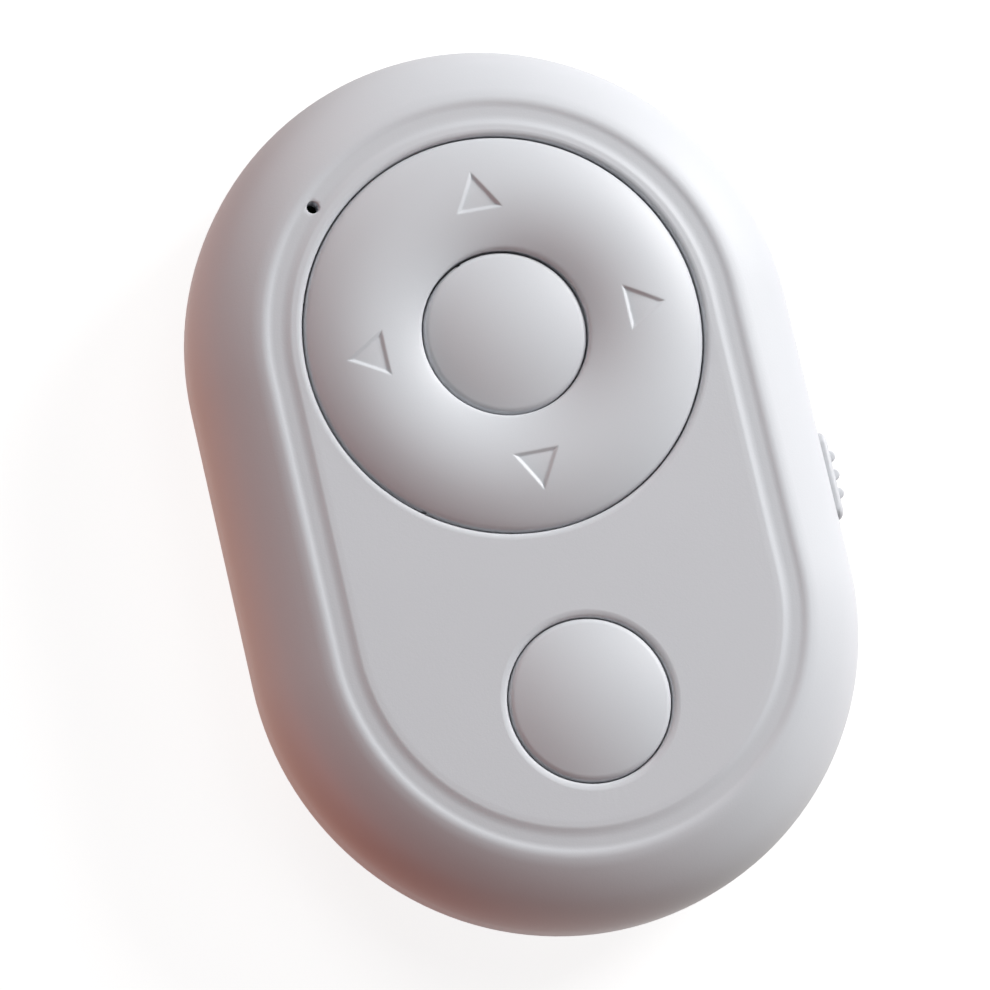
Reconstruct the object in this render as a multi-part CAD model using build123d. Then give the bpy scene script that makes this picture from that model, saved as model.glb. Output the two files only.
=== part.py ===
from build123d import *
from math import acos, asin, cos, degrees, radians, sin, sqrt
import os

# A pocket remote: a rocking ring pad with a button in its middle, a shutter button below it and a
# power slider on the right side. It lies on its back. Z points up out of the front, Y runs along the
# body towards the ring pad, X points to the slider, and the origin is the middle of the flat back.
# All sizes are in millimetres. Heights are named by what they are the top, bottom or edge of.

# Body
body_width = 40.0
arc_spacing = 18.6              # between the centres of the two round ends
panel_top = 11.4
groove_inside = (14.34, 11.25)      # distance from the middle line, height
groove_outside = (15.12, 11.22)
front_round = 4.72              # rounding of the edge above the widest line
front_round_height = 6.19       # of its centre
crown_round = 9.0               # flatter rounding from there to the rim's crest
crown_start = 51.8              # where it takes over, in degrees above the horizontal
crest_outside = 15.75           # the rim's flat crest, from the middle line
crest_inside = 15.42
back_round = 5.2                # rounding of the edge below it
wall = 1.4
ceiling = 10.0                  # underside of the panel
front_slope = 2.6               # the 45 degree slope inside, behind the front rounding
back_floor_edge = 15.2          # where the back's flat floor inside ends
panel_edge = 13.9               # where the panel falls to the groove, from the middle line

# Parting line: the back shell's tongue stands up inside the front shell's lip and snaps into it
seam = 3.3
seam_gap = 0.1
lap_height = 1.5
lap_clearance = 0.1
tongue_inside = 18.0
tongue_outside = 18.9
tongue_lead_in = 0.2
bead_height = 4.2
bead_depth = 0.2
catch_width = 0.6
side_snap_length = 5.0
side_snap_places = (6.5, -9.5)
end_snap_width = 8.0

# Ring pad and its hole
pad_centre = arc_spacing / 2
pad_radius = 12.95
pad_hole_radius = 13.25
pad_dish_radius = 13.68          # a shallow dish leads down to the hole
pad_dish_depth = 0.085
pad_crest_radius = 9.0
pad_crest_top = 12.25
pad_outer_curve = 9.4           # radius of the crown outside the crest
pad_inner_curve = 10.5          # radius of the crown inside the crest
pad_outer_break = 0.25          # sharp edges taken off at 45 degrees
pad_inner_break = 0.1
pad_ceiling = 10.7
pad_gusset = 0.8
pad_bore_radius = 5.57
pad_tube_radius = 6.57
pad_tube_bottom = 7.9
pad_skirt_inside = 11.9
pad_flange_radius = 14.1
pad_flange_bottom = 8.8
pad_flange_top = 9.4
cushion_foot = (12.7, 13.8)     # inside and outside radius
cushion_foot_top = 7.1
cushion_web = 12.95
cushion_web_top = 8.1
cushion_head = (12.2, 13.3)
cushion_step = 0.1
nub_circle = 9.0
nub_radius = 1.3
pad_rib_width = 0.9
pad_rib_bottom = 8.9
mark_floor = 11.97
mark_base = 8.0
mark_tip = 10.75
mark_width = 3.2

# Round buttons
button_rise = 0.8
button_break = 0.2
button_wall = 1.0
button_flange = 0.6
stem_radius = 1.5
centre_button_radius = 5.2
centre_button_edge = 11.45
centre_flange_radius = 6.3
centre_button_play = (0.05, -0.15)   # the button sits a little low in its loose hole
shutter_distance = 24.4              # from the ring pad's centre
shutter_radius = 5.17
shutter_edge = 11.32
shutter_flange_radius = 6.7
shutter_hole_radius = 5.5
shutter_dish_radius = 6.0
shutter_dish_depth = 0.13

# Battery cover and its bayonet in the back shell
cover_radius = 12.75
cover_thickness = 1.55
cover_break = 0.25
cover_recess_radius = 12.95
cover_recess_depth = 1.7
cup_inside = 10.35
cup_outside = 11.05
cup_top = 3.15
lug_count = 3
lug_angle = 24.0
lug_radius = 12.0
lug_bottom = 2.45
twist_angle = 40.0
entry_clearance = 2.0           # degrees
stop_angle = 8.0
lip_radius = 11.3
channel_radius = 12.3
channel_bottom = 2.3
channel_top = 3.3
channel_roof = 0.9
well_wall = 1.2
well_top = 5.2
well_rib_spacing = 6.0
well_rib_width = 0.8
well_rib_top = 3.6
coin_slot = (13.0, 1.8, 0.7)
pointer_distance = 11.5
pointer_radius = 0.75
pointer_depth = 0.25
dot_distance = 13.85
dot_radius = 0.35

# Coin cell
cell_bottom = 1.65
cell_radius = 10.0
cell_height = 3.2
cell_bore_radius = 10.5
cell_sheet = 0.25
crimp_width = 0.6
crimp_top_drop = 0.1            # the can's mouth lies below the cap's face
seal_inside = 9.1
seal_middle = 9.45
core_radius = 8.4
core_height = 2.6

# Circuit board, its screws and what presses on it
board_bottom = 5.6
board_top = 6.6
board_radius = 17.9
notch_depth = 1.3
notch_length = 13.6
boss_radius = 1.8
boss_top = 10.2                 # sunk a little into the ceiling
screw_points = [(-6.5, 24.4), (6.5, 24.4), (-12.5, -8.0), (12.5, -8.0)]
pilot_radius = 0.7
pilot_depth = 2.7
screw_radius = 0.85
screw_clearance = 0.15
screw_grip = 2.4                # how far a screw reaches above the board
screw_head_radius = 1.6
screw_head_height = 0.9
screw_cross = (1.8, 0.35, 0.45)      # length, width and depth of each slot
dome_height = 0.4
dome_sheet = 0.1
dome_radius = 2.5
wide_dome_radius = 3.0
key_gap = 0.05                  # between a key's stem and its dome
contact_sheet = 0.2
contact_height = 5.5            # middle of the contacts' soldered ends, just under the board

# Power slider on the right side
knob_centre = -3.25
knob_travel = 2.0
knob_height = 6.5
knob_length = 5.9
knob_width = 2.4
knob_corner = 0.8
knob_reach = 20.3
knob_round = 0.35
ridge_radius = 0.38
ridge_pitch = 1.25
window_margin = 0.2
plate_length = 11.0
plate_inside = 16.9
plate_outside = 17.95
plate_bottom = 4.4
plate_top = 8.55
plate_slope = 0.65              # the plate's upper outer edge follows the shell's slope
switch_face = 16.4
switch_length = 6.7
switch_depth = 2.7
switch_height = 1.4
switch_sheet = 0.15
lever_length = 1.5
lever_width = 0.7
lever_foot = (14.7, 15.9)       # from and to, along X
lever_arm = (15.5, 17.7)
lever_play = 0.1

# Small parts on the board
led_distance = 14.75            # from the ring pad's centre, on the groove's floor
led_direction = 135.0
led_hole_radius = 0.4
radio_place = (-9.5, -13.5)
crystal_place = (-9.5, -18.2)
capacitor_place = (8.4, -12.2)
antenna_start = (-5.6, -26.0)

# Worked out from the above
half_width = body_width / 2
half_spacing = arc_spacing / 2
body_length = body_width + arc_spacing
shutter_centre = pad_centre - shutter_distance
lap_top = seam + lap_height
cell_top = cell_bottom + cell_height
stem_bottom = board_top + dome_height + key_gap
slider_middle = knob_centre + knob_travel / 2
lever_height = board_top + switch_height / 2
led_spot = Pos(0, pad_centre) * Rot(0, 0, led_direction) * Pos(led_distance, 0)


def section(*outline, breaks=()):
    """A closed outline, distance from the middle line along X and height along Z, as a face.
    breaks lists (corner, size) pairs, sharp corners to take off at 45 degrees."""
    face = make_face([edge for line in outline for edge in line.edges()])
    for corner, size in breaks:
        face = chamfer(face.vertices().sort_by_distance(corner)[0], size)
    return Plane.XZ * face


def band(inside, outside, low, high):
    """The section of a plain ring."""
    return section(Polyline((inside, low), (outside, low), (outside, high), (inside, high), close=True))


def turned(face):
    """A section turned once round the upright axis."""
    return revolve(face, Axis.Z, 360)


def around_body(face):
    """A section carried round the whole body: a half turn at each end, straight along both sides."""
    half_turn = revolve(face, Axis.Z, 180)
    ends = Pos(0, half_spacing) * half_turn + Pos(0, -half_spacing) * Rot(0, 0, 180) * half_turn
    return ends + extrude(face + mirror(face, Plane.YZ), half_spacing, both=True)


def post(radius, low, high):
    """A round post between two heights."""
    return Pos(0, 0, (low + high) / 2) * Cylinder(radius, high - low)


def block(along_x, along_y, low, high):
    """A rectangular block between two heights."""
    return Pos(0, 0, (low + high) / 2) * Box(along_x, along_y, high - low)


def wedge(angle, inside, outside, low, high):
    """A piece of a ring that spans an angle, centred on the X axis."""
    return Rot(0, 0, -angle / 2) * revolve(band(inside, outside, low, high), Axis.Z, angle)


def around(count, shape, first=0):
    """Equal copies of a shape round the upright axis."""
    return [Rot(0, 0, first + 360 / count * i) * shape for i in range(count)]


def on_side(shape, low, high):
    """A flat shape, drawn along Y and up Z, carried through the right side from x = low to x = high."""
    return extrude(Plane.YZ.offset(low) * shape, high - low)


def snap_zones():
    """Where the two shells snap together: two stretches on each side and one at each end."""
    zones = block(end_snap_width, body_length + 2, 0, panel_top)
    for place in side_snap_places:
        zones += Pos(0, place) * block(body_width + 2, side_snap_length, 0, panel_top)
    return zones


def front_shell():
    """Rim, groove and panel in one moulding, open below, with holes for every key."""
    inside = half_width - wall
    lip_inside = tongue_outside + lap_clearance
    lip_top = lap_top + lap_clearance
    low = seam + seam_gap
    below = degrees(asin((back_round - low) / back_round))

    lower_edge = CenterArc((half_width - back_round, back_round), back_round, -below, below)
    side = Line((half_width, back_round), (half_width, front_round_height))
    round_centre = (half_width - front_round, front_round_height)
    shoulder = CenterArc(round_centre, front_round, 0, crown_start)
    excess = crown_round - front_round
    crown_x = round_centre[0] - excess * cos(radians(crown_start))
    crown_z = round_centre[1] - excess * sin(radians(crown_start))
    crest_angle = degrees(acos((crest_outside - crown_x) / crown_round))
    crown = CenterArc((crown_x, crown_z), crown_round, crown_start, crest_angle - crown_start)
    top_and_inside = Polyline(
        crown @ 1,
        (crest_inside, (crown @ 1).Y),
        groove_outside,
        groove_inside,
        (panel_edge, panel_top),
        (0, panel_top),
        (0, ceiling),
        (inside - front_slope, ceiling),
        (inside, ceiling - front_slope),
        (inside, lip_top),
        (lip_inside, lip_top),
        (lip_inside, low),
        lower_edge @ 0,
    )
    shell = around_body(section(lower_edge, side, shoulder, crown, top_and_inside))

    for x, y in screw_points:
        shell += Pos(x, y) * post(boss_radius, board_top, boss_top)
    for x, y in screw_points:
        shell -= Pos(x, y) * post(pilot_radius, board_top, board_top + pilot_depth)

    shell -= Pos(0, pad_centre) * key_hole(pad_hole_radius, pad_dish_radius, pad_dish_depth)
    shell -= Pos(0, shutter_centre) * key_hole(
        shutter_hole_radius, shutter_dish_radius, shutter_dish_depth
    )
    shell -= led_spot * post(led_hole_radius, ceiling - 1, panel_top)

    window = RectangleRounded(
        knob_length + knob_travel + 2 * window_margin, knob_width + 2 * window_margin, knob_corner
    )
    shell -= on_side(Pos(slider_middle, knob_height) * window, plate_inside, half_width + 1)

    catch_low = bead_height - catch_width / 2
    catch = band(lip_inside - bead_depth, lip_inside + bead_depth, catch_low, catch_low + catch_width)
    return shell - (around_body(catch) & snap_zones())


def key_hole(radius, dish_radius, dish_depth):
    """The cutter for a key's hole through the panel, in the middle of a shallow dish."""
    return turned(
        section(
            Polyline(
                (0, ceiling - 1),
                (radius, ceiling - 1),
                (radius, panel_top - dish_depth),
                (dish_radius, panel_top),
                (dish_radius, panel_top + 1),
                (0, panel_top + 1),
                close=True,
            )
        )
    )


def back_shell():
    """A shallow tray with the lap tongue, the coin cell's well and the cover's bayonet."""
    seam_angle = degrees(asin((back_round - seam) / back_round))
    outside = CenterArc((half_width - back_round, back_round), back_round, -90, 90 - seam_angle)
    tongue_and_floor = Polyline(
        outside @ 1,
        (tongue_outside, seam),
        (tongue_outside, lap_top),
        (tongue_inside, lap_top),
        (tongue_inside, seam),
        (back_floor_edge, wall),
        (0, wall),
        (0, 0),
        outside @ 0,
    )
    tray = around_body(
        section(outside, tongue_and_floor, breaks=[((tongue_outside, lap_top), tongue_lead_in)])
    )
    bead = section(
        Polyline(
            (tongue_outside - bead_depth, bead_height - 2 * bead_depth),
            (tongue_outside + bead_depth, bead_height),
            (tongue_outside - bead_depth, bead_height + 2 * bead_depth),
            close=True,
        )
    )
    tray += around_body(bead) & snap_zones()

    well_outside = cell_bore_radius + well_wall
    bayonet_outside = channel_radius + well_wall
    well = section(
        Polyline(
            (cover_recess_radius, cover_recess_depth),
            (lip_radius, cover_recess_depth),
            (lip_radius, channel_bottom),
            (channel_radius, channel_bottom),
            (channel_radius, channel_top),
            (cell_bore_radius, channel_top),
            (cell_bore_radius, well_top),
            (well_outside, well_top),
            (well_outside, channel_top + channel_roof),
            (bayonet_outside, channel_top + channel_roof),
            (bayonet_outside, wall / 2),
            (cover_recess_radius, wall / 2),
            close=True,
        )
    )
    tray -= post(cover_recess_radius, -1, 2 * wall)
    tray += turned(well)

    entry = wedge(lug_angle + entry_clearance, cup_outside, channel_radius, wall / 2, channel_top)
    for opening in around(lug_count, entry, 90 - twist_angle):
        tray -= opening
    stop = wedge(
        stop_angle, lip_radius, bayonet_outside - well_wall / 2, channel_bottom - 0.2, channel_top + 0.2
    )
    for end_stop in around(lug_count, stop, 90 + (lug_angle + stop_angle + entry_clearance) / 2):
        tray += end_stop

    rib_end = half_spacing + back_floor_edge
    for x in (-well_rib_spacing, 0, well_rib_spacing):
        rib_start = sqrt((bayonet_outside - well_wall / 2) ** 2 - x**2)
        rib_length = rib_end - rib_start
        rib = Pos(x, rib_start + rib_length / 2) * block(well_rib_width, rib_length, wall / 2, well_rib_top)
        tray += rib
        tray += mirror(rib, Plane.XZ)

    dot = Pos(0, dot_distance) * post(dot_radius, -1, pointer_depth)
    return tray - dot - Rot(0, 0, -twist_angle) * dot


def battery_cover():
    """A round twist-off cover, flush with the back: coin slot outside, cup with three lugs inside."""
    cover = turned(
        section(
            Polyline(
                (0, 0),
                (cover_radius, 0),
                (cover_radius, cover_thickness),
                (cup_outside, cover_thickness),
                (cup_outside, cup_top),
                (cup_inside, cup_top),
                (cup_inside, cover_thickness),
                (0, cover_thickness),
                close=True,
            ),
            breaks=[((cover_radius, 0), cover_break)],
        )
    )
    for lug in around(lug_count, wedge(lug_angle, cup_outside - 0.2, lug_radius, lug_bottom, cup_top), 90):
        cover += lug
    length, width, depth = coin_slot
    cover -= extrude(SlotOverall(length, width), depth)
    pointer = Pos(0, pointer_distance) * RegularPolygon(pointer_radius, 3, rotation=90)
    return cover - extrude(pointer, pointer_depth)


def ring_pad():
    """A turned crown with a skirt, a flange under the panel and a tube for the centre button."""
    inner_end = pad_bore_radius + pad_inner_break
    outer_end = pad_radius - pad_outer_break
    inner_drop = degrees(asin((pad_crest_radius - inner_end) / pad_inner_curve))
    outer_drop = degrees(asin((outer_end - pad_crest_radius) / pad_outer_curve))
    inner_centre = (pad_crest_radius, pad_crest_top - pad_inner_curve)
    outer_centre = (pad_crest_radius, pad_crest_top - pad_outer_curve)
    inner = CenterArc(inner_centre, pad_inner_curve, 90 + inner_drop, -inner_drop)
    outer = CenterArc(outer_centre, pad_outer_curve, 90, -outer_drop)
    skirt_and_tube = Polyline(
        outer @ 1,
        (pad_radius, (outer @ 1).Y - pad_outer_break),
        (pad_radius, pad_flange_top),
        (pad_flange_radius, pad_flange_top),
        (pad_flange_radius, pad_flange_bottom),
        (pad_skirt_inside, pad_flange_bottom),
        (pad_skirt_inside, pad_ceiling - pad_gusset),
        (pad_skirt_inside - pad_gusset, pad_ceiling),
        (pad_tube_radius + pad_gusset, pad_ceiling),
        (pad_tube_radius, pad_ceiling - pad_gusset),
        (pad_tube_radius, pad_tube_bottom),
        (pad_bore_radius, pad_tube_bottom),
        (pad_bore_radius, (inner @ 0).Y - pad_inner_break),
        inner @ 0,
    )
    pad = turned(section(inner, outer, skirt_and_tube))

    rib_middle = (pad_skirt_inside + pad_tube_radius) / 2
    rib_length = pad_skirt_inside - pad_tube_radius + pad_gusset
    rib = Pos(rib_middle, 0) * block(rib_length, pad_rib_width, pad_rib_bottom, pad_ceiling)
    nub = Pos(nub_circle, 0) * post(nub_radius, stem_bottom, pad_ceiling + 0.2)
    for arm in around(4, rib + nub):
        pad += arm

    triangle = Polyline((mark_tip, 0), (mark_base, mark_width / 2), (mark_base, -mark_width / 2), close=True)
    mark = Pos(0, 0, mark_floor) * extrude(make_face(triangle), 1)
    for sunk in around(4, mark):
        pad -= sunk
    return Pos(0, pad_centre) * pad


def round_button(radius, edge, flange_radius, flange_top):
    """A hollow domed button with a flange that keeps it in and a stem that presses its snap dome."""
    curve = (radius**2 + button_rise**2) / (2 * button_rise)
    sweep = degrees(asin((radius - button_break) / curve))
    underside = edge - button_wall
    top = CenterArc((0, edge + button_rise - curve), curve, 90, -sweep)
    rest = Polyline(
        top @ 1,
        (radius, edge - button_break),
        (radius, flange_top),
        (flange_radius, flange_top),
        (flange_radius, flange_top - button_flange),
        (radius - button_wall, flange_top - button_flange),
        (radius - button_wall, underside),
        (stem_radius, underside),
        (stem_radius, stem_bottom),
        (0, stem_bottom),
        top @ 0,
    )
    return turned(section(top, rest))


def centre_button():
    """Held by its flange below the ring pad's tube."""
    x, y = centre_button_play
    button = round_button(
        centre_button_radius, centre_button_edge, centre_flange_radius, pad_tube_bottom - 0.1
    )
    return Pos(x, pad_centre + y) * button


def shutter_button():
    """Held by its flange below the panel."""
    button = round_button(shutter_radius, shutter_edge, shutter_flange_radius, ceiling - 0.05)
    return Pos(0, shutter_centre) * button


def pad_cushion():
    """A soft ring between the board and the pad's flange: a foot, a thin slanted web and a head."""
    foot_inside, foot_outside = cushion_foot
    head_inside, head_outside = cushion_head
    outline = Polyline(
        (foot_inside, board_top),
        (foot_outside, board_top),
        (foot_outside, cushion_foot_top),
        (cushion_web, cushion_web_top),
        (head_outside, cushion_web_top + 3 * cushion_step),
        (head_outside, pad_flange_bottom),
        (head_inside, pad_flange_bottom),
        (head_inside, cushion_web_top + cushion_step),
        (cushion_web, cushion_foot_top + cushion_step),
        close=True,
    )
    return Pos(0, pad_centre) * turned(section(outline))


def snap_dome(radius, x, y):
    """A thin steel dome with a flat middle, cropped square so that it stands on four feet."""
    flat = radius / 2
    top = board_top + dome_height
    sheet = section(
        Polyline(
            (0, top),
            (flat, top),
            (radius, board_top + dome_sheet),
            (radius, board_top),
            (radius - dome_sheet, board_top),
            (flat - dome_sheet, top - dome_sheet),
            (0, top - dome_sheet),
            close=True,
        )
    )
    square = block(1.6 * radius, 1.6 * radius, board_top, top)
    return Pos(x, y) * (turned(sheet) & (Rot(0, 0, 45) * square))


def main_board():
    """The circuit board: body outline, notched behind the slider, screwed up to four bosses."""
    board = around_body(band(0, board_radius, board_bottom, board_top))
    board -= Pos(board_radius, slider_middle) * block(2 * notch_depth, notch_length, 0, ceiling)
    for x, y in screw_points:
        board -= Pos(x, y) * post(screw_radius + screw_clearance, 0, ceiling)
    return board


def board_screws():
    """Four small self-tapping screws, heads under the board."""
    head_face = board_bottom - screw_head_height
    outline = Polyline(
        (0, head_face),
        (screw_head_radius, head_face),
        (screw_head_radius, board_bottom),
        (screw_radius, board_bottom),
        (screw_radius, board_top + screw_grip - screw_radius / 2),
        (screw_radius / 2, board_top + screw_grip),
        (0, board_top + screw_grip),
        close=True,
    )
    length, width, depth = screw_cross
    slot = block(length, width, 0, head_face + depth)
    cross = slot + Rot(0, 0, 90) * slot
    screw = turned(section(outline)) - cross
    return Compound(children=[(Pos(x, y) * screw).solid() for x, y in screw_points])


def cell_can():
    """The cell's steel can, positive side down, crimped in at its mouth."""
    mouth = cell_top - crimp_top_drop
    outline = Polyline(
        (0, cell_bottom),
        (cell_radius, cell_bottom),
        (cell_radius, mouth),
        (cell_radius - crimp_width, mouth),
        (cell_radius - crimp_width, mouth - cell_sheet),
        (cell_radius - cell_sheet, mouth - cell_sheet),
        (cell_radius - cell_sheet, cell_bottom + cell_sheet),
        (0, cell_bottom + cell_sheet),
        close=True,
    )
    return turned(section(outline, breaks=[((cell_radius, cell_bottom), 0.15), ((cell_radius, mouth), 0.15)]))


def cell_seal():
    """The plastic ring that keeps can and cap apart."""
    outside = cell_radius - cell_sheet
    shoulder = cell_top - crimp_top_drop - cell_sheet
    outline = Polyline(
        (seal_middle, cell_bottom + cell_sheet),
        (outside, cell_bottom + cell_sheet),
        (outside, shoulder),
        (cell_radius - crimp_width, shoulder),
        (cell_radius - crimp_width, shoulder + 0.2),
        (seal_inside, shoulder + 0.2),
        (seal_inside, shoulder - 0.2),
        (seal_middle, shoulder - 0.2),
        close=True,
    )
    return turned(section(outline))


def cell_cap():
    """The cell's negative cap, a shallow steel dish turned over."""
    shoulder = cell_top - crimp_top_drop - cell_sheet - 0.2
    slope = cell_top - shoulder
    outline = Polyline(
        (0, cell_top),
        (seal_inside - slope, cell_top),
        (seal_inside, shoulder),
        (seal_middle, shoulder),
        (seal_middle, cell_bottom + 0.7),
        (seal_middle - cell_sheet, cell_bottom + 0.7),
        (seal_middle - cell_sheet, shoulder - cell_sheet),
        (seal_inside - slope, cell_top - cell_sheet),
        (0, cell_top - cell_sheet),
        close=True,
    )
    return turned(section(outline))


def cell_core():
    """Lithium, separator and cathode as one pellet."""
    low = cell_bottom + cell_sheet + 0.05
    return post(core_radius, low, low + core_height)


def positive_contact():
    """A bent strip: soldered under the board, its leg springs against the can's side."""
    strip = FilletPolyline(
        (13.0, contact_height), (10.3, contact_height), (10.13, 4.4), (10.24, 3.5), radius=0.15
    )
    return extrude(Plane.YZ * trace(strip, contact_sheet), 1.3, both=True)


def negative_contact():
    """A bowed leaf under the board that presses on the cell's cap."""
    leaf_end = 7.0
    tab_end = 8.6
    leaf_middle = cell_top + contact_sheet / 2 + 0.03
    left_tab = Line((-tab_end, contact_height), (-leaf_end, contact_height))
    leaf = ThreePointArc((-leaf_end, contact_height), (0, leaf_middle), (leaf_end, contact_height))
    right_tab = Line((leaf_end, contact_height), (tab_end, contact_height))
    return extrude(Plane.XZ * trace([left_tab, leaf, right_tab], contact_sheet), 2.0, both=True)


def power_knob():
    """A ridged cap in the shell's window and, behind the wall, a wider plate that holds it in."""
    plate_outline = Polyline(
        (plate_inside, plate_bottom),
        (plate_outside, plate_bottom),
        (plate_outside, plate_top - plate_slope),
        (plate_outside - plate_slope, plate_top),
        (plate_inside, plate_top),
        close=True,
    )
    plate = Pos(0, knob_centre) * extrude(section(plate_outline), plate_length / 2, both=True)
    outline = Pos(knob_centre, knob_height) * RectangleRounded(knob_length, knob_width, knob_corner)
    cap = on_side(outline, plate_outside - 0.2, knob_reach)
    cap = fillet(cap.faces().sort_by(Axis.X)[-1].edges(), knob_round)
    for step in (-1, 0, 1):
        ridge = Cylinder(ridge_radius, knob_width - 2 * knob_round)
        cap += Pos(knob_reach, knob_centre + step * ridge_pitch, knob_height) * ridge
    pocket = lever_block((plate_inside - 1, lever_arm[1] + lever_play), lever_play)
    return plate + cap - pocket


def lever_block(reach, margin=0.0):
    """A block as wide as the switch's lever, with a margin round it, from and to a place along X."""
    start, end = reach
    size = Box(end - start, lever_length + 2 * margin, lever_width + 2 * margin)
    return Pos((start + end) / 2, knob_centre, lever_height) * size


def switch_can():
    """The slide switch's folded steel cover, open below and slotted towards the side."""
    outer = Box(switch_depth, switch_length, switch_height)
    outer = chamfer(outer.edges().filter_by(Axis.Y).group_by(Axis.Z)[-1], 0.25)
    inner = Box(switch_depth - 2 * switch_sheet, switch_length - 2 * switch_sheet, switch_height)
    slot_length = lever_length + knob_travel + 3 * lever_play
    slot = Pos(switch_depth / 2, 0) * Box(1, slot_length, lever_width + 2 * lever_play)
    can = outer - Pos(0, 0, -switch_sheet) * inner - slot
    return Pos(switch_face - switch_depth / 2, slider_middle, lever_height) * can


def switch_base():
    """The slide switch's plastic base inside its cover, with a channel for the lever."""
    gap = 0.05
    inset = 2 * (switch_sheet + gap)
    base = Box(switch_depth - inset, switch_length - inset, switch_height - inset / 2 - gap)
    channel = Pos(0.35, 0, 0.1) * Box(switch_depth - 0.7, lever_length + knob_travel + 6 * lever_play, 1.0)
    return Pos(switch_face - switch_depth / 2, slider_middle, lever_height - gap) * (base - channel)


def switch_lever():
    """The slide switch's lever, gripped by the power knob's plate."""
    return lever_block(lever_foot) + lever_block(lever_arm, -lever_play)


def radio_chip():
    """The radio's square package with a dimple at its first pin."""
    side, height, dimple_place = 4.0, 0.8, 1.4
    chip = block(side, side, 0, height)
    chip = chamfer(chip.edges().group_by(Axis.Z)[-1], 0.08)
    dimple = Pos(-dimple_place, dimple_place) * post(0.25, height - 0.1, height + 1)
    return Pos(*radio_place, board_top) * (chip - dimple)


def crystal_can():
    """The clock crystal in its metal can."""
    can = block(3.2, 2.5, 0, 0.7)
    can = fillet(can.edges().filter_by(Axis.Z), 0.4)
    return Pos(*crystal_place, board_top) * chamfer(can.edges().group_by(Axis.Z)[-1], 0.12)


def status_led():
    """The status light, straight below its hole in the groove."""
    body = block(0.8, 1.6, board_top, board_top + 0.35)
    lens = block(0.7, 1.1, board_top, board_top + 0.65)
    return led_spot * (body + lens)


def chip_capacitors():
    """Small two-ended chips beside the radio, one group."""
    x, y = capacitor_place
    pitch_x, pitch_y = 2.2, 2.0
    chip = block(1.6, 0.8, board_top, board_top + 0.6)
    places = [(x + pitch_x * column, y - pitch_y * row) for column in range(2) for row in range(4)]
    return Compound(children=[(Pos(*place) * chip).solid() for place in places])


def antenna_trace():
    """The aerial: a copper track folded back and forth across the board's lower end."""
    run, pitch, width, thickness = 2.2, 1.6, 0.5, 0.07
    points = []
    for fold in range(8):
        ends = [(pitch * fold, 0), (pitch * fold, run)]
        points += ends if fold % 2 == 0 else ends[::-1]
    track = trace(Polyline(*points), width)
    return Pos(*antenna_start, board_top) * extrude(track, thickness)


pieces = {
    "front_shell": front_shell(),
    "back_shell": back_shell(),
    "battery_cover": battery_cover(),
    "ring_pad": ring_pad(),
    "pad_cushion": pad_cushion(),
    "centre_button": centre_button(),
    "shutter_button": shutter_button(),
    "power_knob": power_knob(),
    "switch_can": switch_can(),
    "switch_base": switch_base(),
    "switch_lever": switch_lever(),
    "main_board": main_board(),
    "board_screws": board_screws(),
    "dome_up": snap_dome(dome_radius, 0, pad_centre + nub_circle),
    "dome_down": snap_dome(dome_radius, 0, pad_centre - nub_circle),
    "dome_left": snap_dome(dome_radius, -nub_circle, pad_centre),
    "dome_right": snap_dome(dome_radius, nub_circle, pad_centre),
    "dome_centre": snap_dome(wide_dome_radius, 0, pad_centre),
    "dome_shutter": snap_dome(wide_dome_radius, 0, shutter_centre),
    "cell_can": cell_can(),
    "cell_seal": cell_seal(),
    "cell_cap": cell_cap(),
    "cell_core": cell_core(),
    "positive_contact": positive_contact(),
    "negative_contact": negative_contact(),
    "radio_chip": radio_chip(),
    "crystal_can": crystal_can(),
    "status_led": status_led(),
    "chip_capacitors": chip_capacitors(),
    "antenna_trace": antenna_trace(),
}

os.makedirs("parts", exist_ok=True)
for name, piece in pieces.items():
    export_step(piece, f"parts/{name}.step")
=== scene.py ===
from math import asin, cos, degrees, hypot, pi, radians, sin, sqrt, tan

import bmesh
import bpy
from mathutils import Matrix, Vector


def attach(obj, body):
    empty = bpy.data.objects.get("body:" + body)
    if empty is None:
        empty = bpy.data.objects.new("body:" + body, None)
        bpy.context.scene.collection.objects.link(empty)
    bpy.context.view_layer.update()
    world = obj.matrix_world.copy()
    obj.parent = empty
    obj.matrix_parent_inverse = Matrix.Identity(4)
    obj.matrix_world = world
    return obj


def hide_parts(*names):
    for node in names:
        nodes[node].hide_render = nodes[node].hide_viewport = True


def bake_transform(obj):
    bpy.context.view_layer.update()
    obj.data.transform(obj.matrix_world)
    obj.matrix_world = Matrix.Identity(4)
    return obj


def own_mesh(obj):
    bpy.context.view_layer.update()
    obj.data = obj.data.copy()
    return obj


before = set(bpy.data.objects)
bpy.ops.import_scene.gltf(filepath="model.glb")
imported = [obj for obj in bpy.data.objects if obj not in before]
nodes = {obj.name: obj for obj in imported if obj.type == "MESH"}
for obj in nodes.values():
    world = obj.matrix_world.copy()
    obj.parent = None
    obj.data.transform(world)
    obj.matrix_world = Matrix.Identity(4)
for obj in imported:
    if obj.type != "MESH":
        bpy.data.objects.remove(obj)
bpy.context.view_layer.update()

# Back shell. The lower half of the housing: a shallow tray moulded in matt white plastic, with a round well
# for the coin cell, the bayonet for its cover, and a tongue that snaps into the front shell. The sizes and
# ways of working that the other mouldings share start here. Sections are in millimetres.
MM = 0.001
half_width = 20.0
end_centre = 9.3                # the round ends turn about (0, end_centre) and (0, -end_centre)
wall = 1.4
back_round = 5.2
seam = 3.3
seam_edge = 0.08
tongue_inside = 18.0
tongue_outside = 18.9
tongue_top = 4.8
tongue_edge = 0.2
floor_edge = 15.2
recess_radius = 12.95
recess_depth = 1.7
recess_lead_in = 0.2
lip_radius = 11.3
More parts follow.
